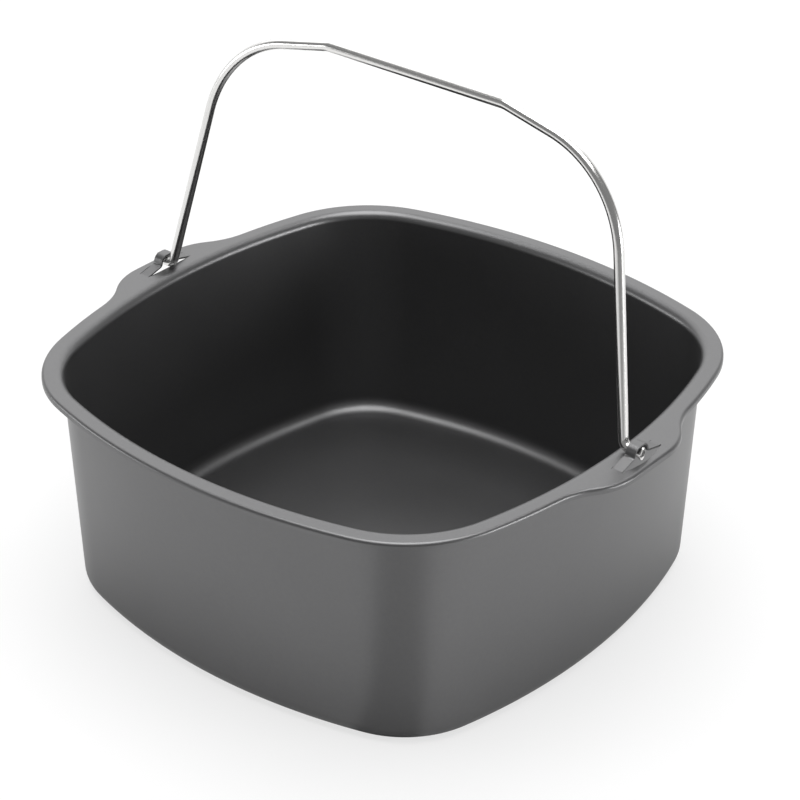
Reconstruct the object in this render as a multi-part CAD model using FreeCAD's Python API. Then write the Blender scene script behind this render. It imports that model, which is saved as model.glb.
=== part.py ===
import FreeCAD, Part
import math
import os

# Air fryer cake pan: a square pan drawn from one steel sheet, with a loose wire bail handle.
# The origin is the centre of the pan's underside, +Z is up, and +X runs along the bail's hinge
# line, from one ear of the rim to the other. All lengths are in millimetres.

# Sheet and plan of the pan, taken at its inner wall line where that meets the rim
sheet = 0.6
opening_half_x = 81.0
opening_half_y = 81.5
ear_side_radius = 187.0
plain_side_radius = 181.0
corner_radius = 33.0

# Section through the wall, from the floor to the rim
height = 72.0
draft_deg = 2.2
floor_radius = 5.0
rim_bend_radius = 2.7
flange_width = 6.5
lip_height = 1.9
lip_radius = 1.1
joining_run = 0.5

# Ears: the flange widened on the two sides that carry the bail
ear_reach = 12.8
ear_flat_half = 8.0
ear_corner_radius = 20.0
ear_blend_radius = 24.0

# Bail: one wire, bent cold, with its two ends turned out and pinched
wire_diameter = 3.0
bail_height = 82.6
leg_lean_in_deg = 11.2
shoulder_radius = 34.0
shoulder_slope_deg = 12.2
grip_half = 31.5
grip_bend_radius = 8.3
foot_bend_radius = 2.6
tip_length = 1.2
tip_flare = 0.7
tip_width = 3.9
tip_thickness = 2.2
bail_lean_deg = 9.2

# Bridges: a strap of each ear, cut free along two slits and raised over the bail's end
bridge_inset = 5.7
bridge_width = 3.2
bridge_half_length = 9.4
ramp_rise = 1.4
ramp_run = 6.0
knee_radius = 0.8
crown_radius = 2.5
inner_slit = 0.3
slit_end = 0.15

# Clearances between the wire and the pan; the bail rests nearer to the bridge on its -X side
wire_over_flange = 0.1
wire_under_bridge = 0.6
wire_beside_bridge = 0.6
leg_to_near_bridge = 0.25
leg_to_other_bridge = 1.25
tip_past_bridge = 1.0
tip_to_slit = 0.2

up = FreeCAD.Vector(0, 0, 1)
across = FreeCAD.Vector(1, 0, 0)
along = FreeCAD.Vector(0, 1, 0)
origin = FreeCAD.Vector(0, 0, 0)


def rounded_path(points, radii):
    """Edges of an open path through the points, with each inner corner rounded to its radius."""
    edges = []
    start = points[0]
    for before, corner, after, radius in zip(points, points[1:], points[2:], radii):
        back = (before - corner).normalize()
        on = (after - corner).normalize()
        half_angle = back.getAngle(on) / 2
        first = corner + back * (radius / math.tan(half_angle))
        last = corner + on * (radius / math.tan(half_angle))
        inward = (back + on).normalize()
        middle = corner + inward * (radius / math.sin(half_angle) - radius)
        edges.append(Part.LineSegment(start, first).toShape())
        edges.append(Part.Arc(first, middle, last).toShape())
        start = last
    edges.append(Part.LineSegment(start, points[-1]).toShape())
    return edges


def sheet_section(points, radii, thickness):
    """Face in the XY plane of a bent sheet, whose left-hand surface follows the rounded path."""
    runs = [(after - before).normalize() for before, after in zip(points, points[1:])]
    sides = [FreeCAD.Vector(run.y, -run.x, 0) for run in runs]
    far_points = [points[0] + sides[0] * thickness]
    far_radii = []
    for index, radius in enumerate(radii):
        side_in, side_out = sides[index], sides[index + 1]
        far_points.append(points[index + 1] + (side_in + side_out) * (thickness / (1 + side_in.dot(side_out))))
        turn = runs[index].cross(runs[index + 1]).z
        far_radii.append(radius + math.copysign(thickness, turn))
    far_points.append(points[-1] + sides[-1] * thickness)
    edges = rounded_path(points, radii) + rounded_path(far_points, far_radii)
    edges.append(Part.LineSegment(points[0], far_points[0]).toShape())
    edges.append(Part.LineSegment(points[-1], far_points[-1]).toShape())
    return Part.Face(Part.Wire(Part.sortEdges(edges)[0]))


def upper_meeting(centre_a, radius_a, centre_b, radius_b):
    """Where two circles cross, on the side of greater Y."""
    line = centre_b - centre_a
    reach = (radius_a ** 2 - radius_b ** 2 + line.Length ** 2) / (2 * line.Length)
    rise = math.sqrt(radius_a ** 2 - reach ** 2)
    unit = FreeCAD.Vector(line).normalize()
    aside = FreeCAD.Vector(-unit.y, unit.x, 0)
    meetings = [centre_a + unit * reach + aside * rise, centre_a + unit * reach - aside * rise]
    return max(meetings, key=lambda point: point.y)


def polar(centre, radius, angle):
    """The point of a circle at an angle from +X."""
    return centre + FreeCAD.Vector(math.cos(angle), math.sin(angle), 0) * radius


def arc_edge(centre, radius, start, end):
    """Edge along a circle between two angles."""
    middle = (start + end) / 2
    return Part.Arc(*[polar(centre, radius, angle) for angle in (start, middle, end)]).toShape()


def bearing(centre, point):
    """The angle from +X at which a point lies, seen from a centre."""
    return math.atan2(point.y - centre.y, point.x - centre.x)


def both_halves(shapes):
    """The shapes of one half of the pan, with their copies half a turn round."""
    turned = [shape.copy() for shape in shapes]
    for shape in turned:
        shape.rotate(origin, up, 180)
    return list(shapes) + turned


def closed_face(half_edges):
    """Face inside the closed outline that one half's edges and their turned copies make."""
    return Part.Face(Part.Wire(Part.sortEdges(both_halves(half_edges))[0]))


def plate(face, low, high):
    """The face as a slab between two heights."""
    slab = face.extrude(up * (high - low))
    slab.translate(up * low)
    return slab


# Plan of the opening: bowed sides and rounded corners, as four tangent arcs in each half
ear_side_centre = across * (opening_half_x - ear_side_radius)
plain_side_centre = along * (opening_half_y - plain_side_radius)
corner_centre = upper_meeting(ear_side_centre, ear_side_radius - corner_radius,
                              plain_side_centre, plain_side_radius - corner_radius)
corner_start = bearing(ear_side_centre, corner_centre)
corner_end = bearing(plain_side_centre, corner_centre)
far_corner_centre = FreeCAD.Vector(-corner_centre.x, corner_centre.y, 0)
ear_side_arc = (ear_side_centre, ear_side_radius, -corner_start, corner_start)
other_arcs = [(corner_centre, corner_radius, corner_start, corner_end),
              (plain_side_centre, plain_side_radius, corner_end, math.pi - corner_end),
              (far_corner_centre, corner_radius, math.pi - corner_end, math.pi - corner_start)]
half_arcs = [ear_side_arc] + other_arcs


def opening_face(offset):
    """Face inside the opening's outline, moved outwards by the offset."""
    return closed_face([arc_edge(centre, radius + offset, start, end)
                        for centre, radius, start, end in half_arcs])


# Drawn wall: one sheet section from the floor's edge to the flange, swung round each arc of the plan
foot_offset = -(height - sheet) * math.tan(math.radians(draft_deg))
floor_turn = math.radians(90 - draft_deg)
floor_edge = foot_offset - floor_radius * math.tan(floor_turn / 2) - joining_run
flange_start = rim_bend_radius * math.tan(floor_turn / 2) + joining_run
wall_section = sheet_section([FreeCAD.Vector(floor_edge, sheet, 0), FreeCAD.Vector(foot_offset, sheet, 0),
                              FreeCAD.Vector(0, height, 0), FreeCAD.Vector(flange_start, height, 0)],
                             [floor_radius, rim_bend_radius], sheet)
wall_section.rotate(origin, across, 90)


def wall_piece(centre, radius, start, end):
    """The drawn wall along one arc of the plan."""
    section = wall_section.copy()
    section.translate(across * radius)
    piece = section.revolve(origin, up, math.degrees(end - start))
    piece.rotate(origin, up, math.degrees(start))
    piece.translate(centre)
    return piece


walls = both_halves([wall_piece(*arc) for arc in half_arcs])
floor = plate(opening_face(floor_edge), 0, sheet)

# Rim: the flange's outer outline, with an ear on each hinge side
rim_radius = ear_side_radius + flange_width
ear_edge = opening_half_x + ear_reach
ear_corner_centre = FreeCAD.Vector(ear_edge - ear_corner_radius, ear_flat_half, 0)
ear_blend_centre = upper_meeting(ear_side_centre, rim_radius + ear_blend_radius,
                                 ear_corner_centre, ear_corner_radius + ear_blend_radius)
ear_turn = bearing(ear_corner_centre, ear_blend_centre)
blend_turn = bearing(ear_side_centre, ear_blend_centre)


def rim_face(inset):
    """Face inside the rim's outer outline with its ears, moved inwards by the inset."""
    flat_start = FreeCAD.Vector(ear_edge - inset, 0, 0)
    flat_end = FreeCAD.Vector(ear_edge - inset, ear_flat_half, 0)
    half_ear = [Part.LineSegment(flat_start, flat_end).toShape(),
                arc_edge(ear_corner_centre, ear_corner_radius - inset, 0, ear_turn),
                arc_edge(ear_blend_centre, ear_blend_radius + inset, math.pi + blend_turn, math.pi + ear_turn),
                arc_edge(ear_side_centre, rim_radius - inset, blend_turn, corner_start)]
    edges = half_ear + [edge.mirror(origin, along) for edge in half_ear]
    for centre, radius, start, end in other_arcs:
        edges.append(arc_edge(centre, radius + flange_width - inset, start, end))
    return closed_face(edges)


def domed_plate(inset, low, high, radius):
    """Slab inside the rim's outline with its upper edge rounded."""
    slab = plate(rim_face(inset), low, high)
    middle = (low + high) / 2
    return slab.makeFillet(radius, [edge for edge in slab.Edges if edge.BoundBox.ZMin > middle])


# The flange lies level and its outer edge is turned down to a short rounded lip
lip_foot = height - lip_height
rim_cap = domed_plate(0, lip_foot, height, lip_radius)
rim_hollow = domed_plate(sheet, lip_foot, height - sheet, lip_radius - sheet)
rim_opening = plate(opening_face(flange_start), lip_foot, height)
rim = rim_cap.cut(rim_hollow).cut(rim_opening)

# Bridges: the slot that the raised strap leaves in the ear, and the strap with its ramps and crown
wire_radius = wire_diameter / 2
hinge_height = height + wire_over_flange + wire_radius
bridge_in = opening_half_x + bridge_inset
bridge_out = bridge_in + bridge_width
bridge_rise = wire_over_flange + wire_diameter + wire_under_bridge + sheet
crown_half = wire_radius + wire_beside_bridge + sheet
end_play = leg_to_near_bridge + leg_to_other_bridge
bail_shift = (leg_to_other_bridge - leg_to_near_bridge) / 2


def slot_face():
    """Face of the ear's slot: two slits, wider at their middle, with the strap's place between."""
    slit_in, slit_out = bridge_in - slit_end, bridge_out + slit_end
    widest_in = bridge_in - inner_slit
    widest_out = bridge_out + tip_past_bridge + bail_shift + tip_to_slit
    low, high = -bridge_half_length, bridge_half_length
    corners = [FreeCAD.Vector(slit_in, low, 0), FreeCAD.Vector(slit_in, high, 0),
               FreeCAD.Vector(slit_out, high, 0), FreeCAD.Vector(slit_out, low, 0)]
    edges = [Part.Arc(corners[0], FreeCAD.Vector(widest_in, 0, 0), corners[1]).toShape(),
             Part.LineSegment(corners[1], corners[2]).toShape(),
             Part.Arc(corners[2], FreeCAD.Vector(widest_out, 0, 0), corners[3]).toShape(),
             Part.LineSegment(corners[3], corners[0]).toShape()]
    return Part.Face(Part.Wire(edges))


def bridge():
    """The raised strap on the +X ear: level feet, a ramp each side and a crown over the wire."""
    foot_end = bridge_half_length + joining_run
    knee = bridge_half_length - ramp_run
    half = [(foot_end, height), (bridge_half_length, height), (knee, height + ramp_rise),
            (crown_half, height + bridge_rise)]
    points = [FreeCAD.Vector(-y, z, 0) for y, z in half] + [FreeCAD.Vector(y, z, 0) for y, z in reversed(half)]
    radii = [knee_radius, knee_radius, crown_radius]
    strap = sheet_section(points, radii + radii[::-1], sheet)
    strap.rotate(origin, across, 90)
    strap.rotate(origin, up, 90)
    strap = strap.extrude(across * bridge_width)
    strap.translate(across * bridge_in)
    return strap


ear_slots = both_halves([plate(slot_face(), height - sheet, height)])
pan = rim.cut(ear_slots).fuse([floor] + walls + both_halves([bridge()])).removeSplitter()

# Bail: drawn upright in the plane of its legs, then leant about the hinge line
leg_foot = bridge_in - end_play / 2 - wire_radius
tip_end = bridge_out + tip_past_bridge
lean_in = math.tan(math.radians(leg_lean_in_deg))
slope = math.tan(math.radians(shoulder_slope_deg))
shoulder_rise = (bail_height - slope * (leg_foot - grip_half)) / (1 - slope * lean_in)
shoulder_out = leg_foot - lean_in * shoulder_rise


def wire_piece(edge):
    """The round wire along one straight or curved edge of its path."""
    start = edge.valueAt(edge.FirstParameter)
    heading = edge.tangentAt(edge.FirstParameter)
    disc = Part.Face(Part.Wire(Part.makeCircle(wire_radius, start, heading)))
    if isinstance(edge.Curve, Part.Circle):
        turn = math.degrees(edge.LastParameter - edge.FirstParameter)
        return disc.revolve(edge.Curve.Center, edge.Curve.Axis, turn)
    return disc.extrude(heading * edge.Length)


def pinched_tip(side):
    """The wire's end on one side, pinched from round to a flat oval that stands upright."""
    outward = across * side
    root = outward * (tip_end - tip_length)
    flat = outward * (tip_end - tip_length + tip_flare)
    oval = Part.Ellipse(flat + up * (tip_width / 2), flat + along * (tip_thickness / 2), flat)
    circle = Part.Circle(root, up.cross(along), wire_radius)
    circle.XAxis = up
    flare = Part.makeLoft([Part.Wire(circle.toShape()), Part.Wire(oval.toShape())], True, True)
    blade = Part.Face(Part.Wire(oval.toShape())).extrude(outward * (tip_length - tip_flare))
    return [flare, blade]


right_half = [(grip_half, bail_height), (shoulder_out, shoulder_rise), (leg_foot, 0),
              (tip_end - tip_length, 0)]
bail_points = [FreeCAD.Vector(-x, 0, z) for x, z in reversed(right_half)]
bail_points += [FreeCAD.Vector(x, 0, z) for x, z in right_half]
half_radii = [grip_bend_radius, shoulder_radius, foot_bend_radius]
wire_path = rounded_path(bail_points, half_radii[::-1] + half_radii)
wire_pieces = [wire_piece(edge) for edge in wire_path] + pinched_tip(-1) + pinched_tip(1)
bail = wire_pieces[0].fuse(wire_pieces[1:]).removeSplitter()
bail.rotate(origin, across, -bail_lean_deg)
bail.translate(up * hinge_height - across * bail_shift)

os.makedirs("parts", exist_ok=True)
for name, shape in (("pan", pan), ("bail_handle", bail)):
    print(name, shape.isValid(), len(shape.Solids), round(shape.Volume), shape.BoundBox)
    shape.exportStep("parts/" + name + ".step")
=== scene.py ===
import math

import bmesh
import bpy
from mathutils import Matrix, Vector
from mathutils.geometry import intersect_sphere_sphere_2d


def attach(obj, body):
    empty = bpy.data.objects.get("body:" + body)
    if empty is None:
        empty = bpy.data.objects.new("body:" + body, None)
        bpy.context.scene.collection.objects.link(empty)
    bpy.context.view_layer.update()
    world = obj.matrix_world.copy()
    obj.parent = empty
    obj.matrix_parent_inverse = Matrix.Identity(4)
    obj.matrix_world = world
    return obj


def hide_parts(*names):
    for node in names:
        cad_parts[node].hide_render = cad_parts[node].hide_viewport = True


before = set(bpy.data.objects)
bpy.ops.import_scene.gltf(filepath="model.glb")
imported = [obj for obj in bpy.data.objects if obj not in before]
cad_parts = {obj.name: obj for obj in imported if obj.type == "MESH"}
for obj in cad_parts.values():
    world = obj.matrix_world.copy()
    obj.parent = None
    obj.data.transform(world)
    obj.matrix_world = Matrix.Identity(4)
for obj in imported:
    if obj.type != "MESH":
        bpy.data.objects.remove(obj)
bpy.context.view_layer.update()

# The camera stands a little above the pan, off the corner between a plain side and an ear side, and
# looks down on it at about 31 degrees. It is a long lens, close to a portrait lens on a full frame.
camera_bearing = math.radians(39.082)
camera_rise = math.radians(30.584)
camera_distance = 0.76983
camera_roll = math.radians(0.249)
looked_at = Vector((-0.019593, 0.031023, 0.035))
frame_pixels = 800
focal_pixels = 2476.657
sensor_width = 36.0

towards_camera = Vector((math.sin(camera_bearing) * math.cos(camera_rise),
                         -math.cos(camera_bearing) * math.cos(camera_rise),
                         math.sin(camera_rise)))
camera_data = bpy.data.cameras.new("camera")
camera_data.sensor_width = sensor_width
camera_data.lens = focal_pixels / frame_pixels * sensor_width
camera_data.clip_start = 0.05
camera = bpy.data.objects.new("camera", camera_data)
bpy.context.scene.collection.objects.link(camera)
level_right = (-towards_camera).cross(Vector((0, 0, 1))).normalized()
level_up = level_right.cross(-towards_camera)
right = level_right * math.cos(camera_roll) + level_up * math.sin(camera_roll)
above = level_up * math.cos(camera_roll) - level_right * math.sin(camera_roll)
turn = Matrix((right, above, towards_camera)).transposed().to_4x4()
camera.matrix_world = Matrix.Translation(looked_at + towards_camera * camera_distance) @ turn
bpy.context.scene.camera = camera

# The pan is one steel sheet, deep drawn to a square with bowed sides and round corners. The same sheet
# makes the floor, the wall, the level flange with its turned-down lip and the two ears, and a strap of
# each ear is lanced free and pushed up into a bridge. It is drawn here as one skin, then given its gauge.
mm = 0.001
up = Vector((0, 0, 1))
across = Vector((1, 0, 0))
along = Vector((0, 1, 0))
origin = Vector((0, 0, 0))
same_place = 0.005 * mm

sheet = 0.6 * mm
opening_half_x = 81.0 * mm
opening_half_y = 81.5 * mm
ear_side_radius = 187.0 * mm
plain_side_radius = 181.0 * mm
corner_radius = 33.0 * mm
height = 72.0 * mm
draft = math.radians(2.2)
floor_radius = 5.0 * mm
rim_bend_radius = 2.7 * mm
flange_width = 6.5 * mm
lip_height = 1.9 * mm
lip_radius = 1.1 * mm
joining_run = 0.5 * mm
cut_edge_round = 0.06 * mm


def drawn_along(bm, drawn, route, most_turn=math.radians(8), most_run=2.2 * mm):
    """Draws a vertex or an edge line along straight runs and round bends, leaving a skin behind it.

    Each stop of the route is a centre, an axis, an angle, a radius and a run. A bend is cut into steps
    that turn and run no further than the last two values.
    """
    for centre, axis, angle, radius, run in route:
        steps = math.ceil(max(angle / most_turn, angle * radius / most_run, 1))
        spun = bmesh.ops.spin(bm, geom=drawn, cent=centre, axis=axis, dvec=run / steps,
                              angle=angle, steps=steps)
        drawn = spun["geom_last"]
    return drawn


def straight(run):
    """One straight run of a route."""
    return (origin, up, 0, 0, run)


def bent_line(points, radii):
    """The route through the points, with each inner corner bent to its radius."""
    route = []
    start = points[0]
    for before, corner, after, radius in zip(points, points[1:], points[2:], radii):
        arriving = (corner - before).normalized()
        leaving = (after - corner).normalized()
        angle = arriving.angle(leaving)
        reach = radius * math.tan(angle / 2)
        centre = corner + (leaving - arriving).normalized() * (radius / math.cos(angle / 2))
        route.append(straight(corner - arriving * reach - start))
        route.append((centre, arriving.cross(leaving), angle, radius, origin))
        start = corner + leaving * reach
    route.append(straight(points[-1] - start))
    return route


def line_through(bm, points, radii):
    """Draws the bent line itself, and returns its vertices and edges."""
    before = set(bm.verts) | set(bm.edges)
    drawn_along(bm, bmesh.ops.create_vert(bm, co=points[0])["vert"], bent_line(points, radii))
    return [part for part in list(bm.verts) + list(bm.edges) if part not in before]


def upper_meeting(centre_a, radius_a, centre_b, radius_b):
    """Where two circles cross, on the side of greater Y."""
    meetings = intersect_sphere_sphere_2d(centre_a.xy, radius_a, centre_b.xy, radius_b)
    return max(meetings, key=lambda point: point.y).to_3d()


def bearing(centre, point):
    """The angle from +X at which a point lies, seen from a centre."""
    return math.atan2(point.y - centre.y, point.x - centre.x)


def plan_arc(centre, radius, angle):
    """A stretch of the plan's outline that swings about a centre."""
    return (centre, up * math.copysign(1, angle), abs(angle), radius, origin)


def mirrored_back(route):
    """The same route on the other side of the YZ plane, followed the other way."""
    flip = Matrix.Scale(-1, 3, across)
    return [(flip @ centre, axis, angle, radius, -(flip @ run))
            for centre, axis, angle, radius, run in reversed(route)]


def half_turned(route):
    """The same route, half a turn round the pan."""
    return [(-centre, axis, angle, radius, -run) for centre, axis, angle, radius, run in route]


ear_side_centre = across * (opening_half_x - ear_side_radius)
plain_side_centre = along * (opening_half_y - plain_side_radius)
corner_centre = upper_meeting(ear_side_centre, ear_side_radius - corner_radius,
                              plain_side_centre, plain_side_radius - corner_radius)
corner_start = bearing(ear_side_centre, corner_centre)
corner_end = bearing(plain_side_centre, corner_centre)
corner_arc = plan_arc(corner_centre, corner_radius, corner_end - corner_start)
plain_side_arc = plan_arc(plain_side_centre, plain_side_radius, math.pi - 2 * corner_end)
quarter = [plan_arc(ear_side_centre, ear_side_radius, corner_start), corner_arc]
opening_route = quarter + [plain_side_arc] + mirrored_back(quarter)

foot_inset = (height - sheet) * math.tan(draft)
bend_reach = math.tan((math.pi / 2 - draft) / 2)
floor_edge = opening_half_x - foot_inset - floor_radius * bend_reach - joining_run
flange_start = opening_half_x + rim_bend_radius * bend_reach + joining_run
wall_points = [Vector((flange_start, 0, height)), Vector((opening_half_x, 0, height)),
               Vector((opening_half_x - foot_inset, 0, sheet)), Vector((floor_edge, 0, sheet))]
pan_skin = bmesh.new()
wall_line = line_through(pan_skin, wall_points, [rim_bend_radius, floor_radius])
drawn_along(pan_skin, wall_line, opening_route + half_turned(opening_route))
bmesh.ops.remove_doubles(pan_skin, verts=pan_skin.verts, dist=same_place)
floor_outline = [edge for edge in pan_skin.edges if edge.is_boundary and edge.verts[0].co.z < height / 2]
bmesh.ops.contextual_create(pan_skin, geom=floor_outline)

# The rim's outer edge is turned down to a short rounded lip, which runs round the two ears as well
ear_edge = opening_half_x + 12.8 * mm
ear_flat_half = 8.0 * mm
ear_corner_radius = 20.0 * mm
ear_blend_radius = 24.0 * mm
rim_radius = ear_side_radius + flange_width
ear_corner_centre = Vector((ear_edge - ear_corner_radius, ear_flat_half, 0))
ear_blend_centre = upper_meeting(ear_side_centre, rim_radius + ear_blend_radius,
                                 ear_corner_centre, ear_corner_radius + ear_blend_radius)
ear_turn = bearing(ear_corner_centre, ear_blend_centre)
blend_turn = bearing(ear_side_centre, ear_blend_centre)
quarter = [straight(along * ear_flat_half),
           plan_arc(ear_corner_centre, ear_corner_radius, ear_turn),
           plan_arc(ear_blend_centre, ear_blend_radius, blend_turn - ear_turn),
           plan_arc(ear_side_centre, rim_radius, corner_start - blend_turn), corner_arc]
rim_route = quarter + [plain_side_arc] + mirrored_back(quarter)
lip_points = [Vector((ear_edge - lip_radius - joining_run / 2, 0, height)), Vector((ear_edge, 0, height)),
              Vector((ear_edge, 0, height - lip_height))]
lip_line = line_through(pan_skin, lip_points, [lip_radius])
drawn_along(pan_skin, lip_line, rim_route + half_turned(rim_route))

# Each ear's strap stays joined to the flange at its two feet. It ramps up, then arches over the wire, and
# a narrow slit and a wider one, which the wire's tip hangs into, part it from the rest of the ear.
wire_diameter = 3.0 * mm
wire_over_flange = 0.1 * mm
hinge_height = height + wire_over_flange + wire_diameter / 2
bridge_in = opening_half_x + 5.7 * mm
bridge_width = 3.2 * mm
bridge_out = bridge_in + bridge_width
bridge_half_length = 9.4 * mm
knee = Vector((0, 3.4 * mm, height + 1.4 * mm))
arch_corner = Vector((0, 2.7 * mm, height + 4.3 * mm))
foot_bend = 0.3 * mm
strap_radii = [2.2 * mm, 0.8 * mm, 2.5 * mm]
slit_end = 0.15 * mm
inner_slit = 0.3 * mm
outer_slit = 1.7 * mm
strap_half = [Vector((0, bridge_half_length, height)), Vector((0, bridge_half_length - foot_bend, height)),
              knee, arch_corner]
strap_points = strap_half + [Matrix.Scale(-1, 3, along) @ point for point in reversed(strap_half)]
ear_before = set(pan_skin.verts)
strap_line = line_through(pan_skin, [point + across * bridge_in for point in strap_points],
                          strap_radii + strap_radii[::-1])
drawn_along(pan_skin, strap_line, [straight(across * bridge_width)])
for edge_x, end_gap, middle_gap in ((bridge_out, slit_end, outer_slit), (bridge_in, -slit_end, -inner_slit)):
    bow = abs(middle_gap - end_gap)
    bow_radius = (bridge_half_length ** 2 + bow ** 2) / (2 * bow)
    outward = math.copysign(1, end_gap)
    bow_centre = across * (edge_x + middle_gap - outward * bow_radius)
    bow_turn = 2 * math.asin(bridge_half_length / bow_radius)
    foot = Vector((edge_x, -bridge_half_length, height))
    drawn_along(pan_skin, bmesh.ops.create_vert(pan_skin, co=foot)["vert"],
                [straight(across * end_gap), (bow_centre, up * outward, bow_turn, bow_radius, origin),
                 straight(across * -end_gap)])
ear_parts = [vert for vert in pan_skin.verts if vert not in ear_before]
ear_parts += [edge for edge in pan_skin.edges if edge.verts[0] not in ear_before]
ear_parts += [face for face in pan_skin.faces if face.verts[0] not in ear_before]
other_ear = bmesh.ops.duplicate(pan_skin, geom=ear_parts)["geom"]
bmesh.ops.rotate(pan_skin, cent=origin, matrix=Matrix.Rotation(math.pi, 3, up),
                 verts=[part for part in other_ear if isinstance(part, bmesh.types.BMVert)])
bmesh.ops.remove_doubles(pan_skin, verts=pan_skin.verts, dist=same_place)


# The level flange closes the skin between the opening, the lip and the slits, and the whole skin then
# gets the sheet's gauge downwards and outwards, with the cut edges just broken.
def placed(name, skin):
    """Turns a finished skin into an object of the scene."""
    mesh = bpy.data.meshes.new(name)
    skin.to_mesh(mesh)
    skin.free()
    mesh.shade_smooth()
    piece = bpy.data.objects.new(name, mesh)
    bpy.context.scene.collection.objects.link(piece)
    return piece


def shade_by_faces(piece):
    """Lets the large faces lead the shading, so that flat and evenly bent runs look clean."""
    even_light = piece.modifiers.new("even_light", "WEIGHTED_NORMAL")
    even_light.weight = 100


flange_edges = [edge for edge in pan_skin.edges if len(edge.link_faces) < 2
                and all(abs(vert.co.z - height) < same_place for vert in edge.verts)]
bmesh.ops.triangle_fill(pan_skin, use_beauty=True, use_dissolve=False, edges=flange_edges, normal=up)
bmesh.ops.recalc_face_normals(pan_skin, faces=pan_skin.faces)
coated_pan = placed("coated_pan", pan_skin)
gauge = coated_pan.modifiers.new("gauge", "SOLIDIFY")
gauge.thickness = sheet
gauge.offset = -1
gauge.use_even_offset = True
gauge.use_quality_normals = True
soft_edges = coated_pan.modifiers.new("soft_edges", "BEVEL")
soft_edges.width = cut_edge_round
soft_edges.segments = 2
soft_edges.limit_method = "ANGLE"
soft_edges.angle_limit = math.radians(50)
shade_by_faces(coated_pan)
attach(coated_pan, "pan")
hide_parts("pan")


# The coating is a dark grey non-stick finish, sprayed inside and out and baked. It has a satin metal
# sheen, with a very fine, soft orange peel and a slightly uneven gloss.
class Socket:
    """A node's output, on which plain arithmetic builds Math nodes."""

    def __init__(self, tree, link=None):
        self.tree = tree
        self.link = link

    def feed(self, socket, value):
        """Gives a socket a number, a colour or another node's output."""
        if isinstance(value, Socket):
            self.tree.links.new(value.link, socket)
        else:
            socket.default_value = value

    def node(self, kind, settings, sockets, output=0):
        """Adds a node, with its settings first and then the values or links of its sockets."""
        made = self.tree.nodes.new(kind)
        for key, value in settings.items():
            setattr(made, key, value)
        for key, value in sockets.items():
            self.feed(made.inputs[key], value)
        return Socket(self.tree, made.outputs[output] if made.outputs else None)

    def maths(self, operation, *values):
        """Adds a Math node on the values."""
        return self.node("ShaderNodeMath", {"operation": operation}, dict(enumerate(values)))

    def __add__(self, other):
        return self.maths("ADD", self, other)

    def __radd__(self, other):
        return self.maths("ADD", other, self)

    def __mul__(self, other):
        return self.maths("MULTIPLY", self, other)

    def __rmul__(self, other):
        return self.maths("MULTIPLY", other, self)


def metal_finish(name, metallic):
    """A new material, with its shader and a wrapper that adds nodes to it."""
    material = bpy.data.materials.new(name)
    material.use_nodes = True
    shader = material.node_tree.nodes["Principled BSDF"]
    shader.inputs["Metallic"].default_value = metallic
    return material, shader, Socket(material.node_tree)


def noise(base, place, scale, detail):
    """Soft random values round a half, with so many grains to the unit of the place."""
    return base.node("ShaderNodeTexNoise", {}, {"Vector": place, "Scale": scale, "Detail": detail})


darker_coating = (0.134, 0.134, 0.136, 1)
lighter_coating = (0.184, 0.184, 0.186, 1)
coating_roughness = 0.33
peel_depth = 0.004 * mm
coating, shader, nodes = metal_finish("coated_steel", metallic=0.88)
place = nodes.node("ShaderNodeTexCoord", {}, {}, "Object")
cloud = noise(nodes, place, scale=26, detail=2)
fine_grain = noise(nodes, place, scale=900, detail=2)
peel = noise(nodes, place, scale=420, detail=1)
tone = nodes.node("ShaderNodeMix", {"data_type": "RGBA"},
                  {0: 0.35 * cloud + 0.3 * fine_grain, 6: darker_coating, 7: lighter_coating}, output=2)
nodes.feed(shader.inputs["Base Color"], tone)
nodes.feed(shader.inputs["Roughness"], coating_roughness + 0.05 * cloud + 0.03 * fine_grain)
bump = nodes.node("ShaderNodeBump", {}, {"Height": peel, "Distance": peel_depth, "Strength": 1.0})
nodes.feed(shader.inputs["Normal"], bump)
coated_pan.data.materials.append(coating)

# The bail is one round stainless wire, drawn bright and bent cold: a nearly level grip, two sloping
# shoulders, two straight legs and two feet turned out under the bridges, with their tips pinched flat.
leg_to_bridge = 0.75 * mm
leg_foot = bridge_in - leg_to_bridge - wire_diameter / 2
bail_shift = 0.5 * mm
bail_height = 82.6 * mm
leg_lean_in = math.tan(math.radians(11.2))
shoulder_slope = math.tan(math.radians(12.2))
grip_half = 31.5 * mm
bail_radii = [8.3 * mm, 34.0 * mm, 2.6 * mm]
bail_lean = math.radians(9.2)
tip_past_bridge = 1.0 * mm
tip_end = bridge_out + tip_past_bridge
tip_length = 1.2 * mm
tip_flare = 0.7 * mm
tip_width = 3.9 * mm
tip_thickness = 2.2 * mm
tip_edge_round = 0.25 * mm
wire_sides = 40
most_wire_turn = math.radians(3)
most_wire_run = 4.0 * mm

shoulder_rise = (bail_height - shoulder_slope * (leg_foot - grip_half)) / (1 - shoulder_slope * leg_lean_in)
shoulder_out = leg_foot - leg_lean_in * shoulder_rise
wire = bmesh.new()
bmesh.ops.create_circle(wire, segments=wire_sides, radius=wire_diameter / 2,
                        matrix=Matrix.Translation(up * bail_height) @ Matrix.Rotation(math.pi / 2, 4, along))
grain = wire.verts.layers.float_vector.new("round_the_wire")
for vert in wire.verts:
    vert[grain] = (vert.co - up * bail_height) / wire_diameter
corners = [(0, bail_height), (grip_half, bail_height), (shoulder_out, shoulder_rise), (leg_foot, 0),
           (tip_end - tip_length, 0)]
middle_ring = list(wire.verts) + list(wire.edges)
half_bail = bent_line([Vector((x, 0, z)) for x, z in corners], bail_radii)
tip = drawn_along(wire, middle_ring, half_bail, most_wire_turn, most_wire_run)
tip = drawn_along(wire, tip, [straight(across * tip_flare)])
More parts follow.
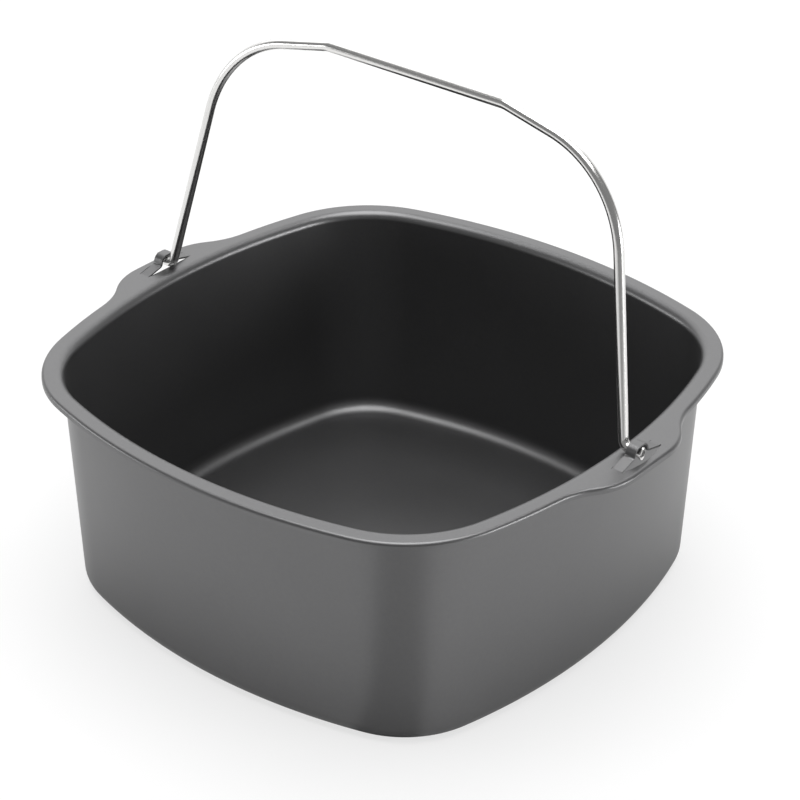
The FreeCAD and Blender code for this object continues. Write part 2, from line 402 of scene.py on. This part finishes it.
bmesh.ops.scale(wire, vec=(1, tip_thickness / wire_diameter, tip_width / wire_diameter),
                verts=[part for part in tip if isinstance(part, bmesh.types.BMVert)])
tip = drawn_along(wire, tip, [straight(across * (tip_length - tip_flare))])
tip_rim = [part for part in tip if isinstance(part, bmesh.types.BMEdge)]
tip_face = bmesh.ops.contextual_create(wire, geom=tip_rim)["faces"][0]
bmesh.ops.bevel(wire, geom=tip_face.edges, affect="EDGES", offset=tip_edge_round, segments=3,
                profile=0.5, material=-1)
bmesh.ops.mirror(wire, geom=list(wire.verts) + list(wire.edges) + list(wire.faces), axis="X",
                 merge_dist=same_place)
bmesh.ops.remove_doubles(wire, verts=wire.verts, dist=same_place)
bmesh.ops.recalc_face_normals(wire, faces=wire.faces)
bmesh.ops.rotate(wire, cent=origin, matrix=Matrix.Rotation(-bail_lean, 3, across), verts=wire.verts)
bmesh.ops.translate(wire, vec=up * hinge_height - across * bail_shift, verts=wire.verts)
wire_bail = placed("wire_bail", wire)
shade_by_faces(wire_bail)
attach(wire_bail, "bail")
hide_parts("bail_handle")

bright_steel = (0.74, 0.735, 0.725, 1)
bright_wire, shader, nodes = metal_finish("bright_wire", metallic=1.0)
place = nodes.node("ShaderNodeAttribute", {"attribute_name": "round_the_wire"}, {}, "Vector")
streaks = noise(nodes, place, scale=9, detail=3)
shader.inputs["Base Color"].default_value = bright_steel
nodes.feed(shader.inputs["Roughness"], 0.15 + 0.08 * streaks)
wire_bail.data.materials.append(bright_wire)

# The pan stands on a plain white table, which the camera sees as even white with the pan's soft shadow.
# In the metal it is less white, and its glow carries painted shade: a painted shadow near the pan, and a
# painted dark wedge before the near corner, which the corner mirrors as a painted darker band.
table_half = 2.0
table_white = (0.85, 0.85, 0.85, 1)
white_to_camera = 0.7
white_to_metal = 0.4
front = Vector((math.sin(camera_bearing), -math.cos(camera_bearing), 0))
# Where the painted dark wedge lies: its point, and the bearings at its edge and its core
painted_wedge_point = front * 0.065
painted_wedge_edge = 0.89
painted_wedge_core = 0.96
# How far the painted shadow round the pan reaches, and how dark it is at the pan
painted_shadow_until = 0.08
painted_shadow_gone_at = 0.14
painted_shadow_level = 0.5


def eased(base, value, start, end, first, last):
    """Goes softly from the first level to the last while the value goes from start to end."""
    return base.node("ShaderNodeMapRange", {"interpolation_type": "SMOOTHSTEP"},
                     {"Value": value, "From Min": start, "From Max": end, "To Min": first, "To Max": last})


table_skin = bmesh.new()
bmesh.ops.create_grid(table_skin, x_segments=1, y_segments=1, size=table_half)
table = placed("table", table_skin)
white_table = bpy.data.materials.new("white_table")
white_table.use_nodes = True
white_table.node_tree.nodes.clear()
nodes = Socket(white_table.node_tree)
seen = nodes.node("ShaderNodeLightPath", {}, {}, "Is Camera Ray")
mirrored = nodes.node("ShaderNodeLightPath", {}, {}, "Is Glossy Ray")
place = nodes.node("ShaderNodeTexCoord", {}, {}, "Object")
# The glow that the metal sees gets a painted dark wedge before the near corner, mirrored as a darker band
from_corner = nodes.node("ShaderNodeVectorMath", {"operation": "SUBTRACT"}, {0: place, 1: painted_wedge_point})
bearing_there = nodes.node("ShaderNodeVectorMath", {"operation": "NORMALIZE"}, {0: from_corner})
ahead = nodes.node("ShaderNodeVectorMath", {"operation": "DOT_PRODUCT"},
                   {0: bearing_there, 1: front}, "Value")
from_middle = nodes.node("ShaderNodeVectorMath", {"operation": "LENGTH"}, {0: place}, "Value")
outside_painted_wedge = eased(nodes, ahead, painted_wedge_edge, painted_wedge_core, 1.0, 0.0)
# A painted shadow dims the glow that the metal sees close to the pan, in place of the pan's own shade
clear_of_painted_shadow = eased(nodes, from_middle, painted_shadow_until, painted_shadow_gone_at, painted_shadow_level, 1.0)
shown = nodes.maths("MAXIMUM", outside_painted_wedge * clear_of_painted_shadow, seen)
glow_with_painted_shade = nodes.node("ShaderNodeCombineColor", {}, {0: shown, 1: shown, 2: shown})
lit = nodes.node("ShaderNodeBsdfDiffuse", {}, {"Color": table_white})
glow = nodes.node("ShaderNodeEmission", {}, {"Color": glow_with_painted_shade, "Strength": 1.0})
both = nodes.node("ShaderNodeMixShader", {}, {0: white_to_camera * seen + white_to_metal * mirrored,
                                              1: lit, 2: glow})
nodes.node("ShaderNodeOutputMaterial", {}, {"Surface": both})
table.data.materials.append(white_table)


# Studio light is soft and even: a wide softbox overhead, a low one on each side, and one behind the pan,
# which the level flange mirrors.
def softbox(name, centre, width, depth, power):
    """A rectangular lamp that faces the pan."""
    lamp = bpy.data.lights.new(name, "AREA")
    lamp.shape = "RECTANGLE"
    lamp.size = width
    lamp.size_y = depth
    lamp.energy = power
    box = bpy.data.objects.new(name, lamp)
    bpy.context.scene.collection.objects.link(box)
    box.location = centre
    box.rotation_euler = (up * height - Vector(centre)).to_track_quat("-Z", "Y").to_euler()


softbox("left_softbox", (-1.4, -0.9, 0.3), width=0.9, depth=0.4, power=5)
softbox("right_softbox", (1.5, 0.5, 0.3), width=0.9, depth=0.4, power=10)
softbox("back_softbox", (-0.73, 0.9, 0.95), width=2.0, depth=1.1, power=5.5)
softbox("top_softbox", (0, 0, 1.6), width=1.4, depth=1.4, power=26)

# The room is a dim grey, with a white backdrop that stands behind the pan and reaches about half way up
# the sky. The camera itself sees plain white wherever the table ends.
room_grey = 0.25
backdrop_whole = -0.6
backdrop_gone = -0.3
fade_from = 0.6
fade_to = 0.85
studio = bpy.data.worlds.new("studio")
studio.use_nodes = True
bpy.context.scene.world = studio
studio.node_tree.nodes.clear()
nodes = Socket(studio.node_tree)
direction = nodes.node("ShaderNodeTexCoord", {}, {}, "Generated")
rise = nodes.node("ShaderNodeSeparateXYZ", {}, {"Vector": direction}, "Z")
facing = nodes.node("ShaderNodeVectorMath", {"operation": "DOT_PRODUCT"}, {0: direction, 1: front}, "Value")
behind = eased(nodes, facing, backdrop_whole, backdrop_gone, 1.0, 0.0)
backdrop = behind * eased(nodes, rise, fade_from, fade_to, 1.0, 0.0)
room = nodes.node("ShaderNodeBackground", {},
                  {"Color": (1, 1, 1, 1), "Strength": room_grey + (1 - room_grey) * backdrop})
white = nodes.node("ShaderNodeBackground", {}, {"Color": (1, 1, 1, 1), "Strength": 1.0})
seen = nodes.node("ShaderNodeLightPath", {}, {}, "Is Camera Ray")
both = nodes.node("ShaderNodeMixShader", {}, {0: seen, 1: room, 2: white})
nodes.node("ShaderNodeOutputWorld", {}, {"Surface": both})

bpy.context.scene.view_settings.view_transform = "Standard"
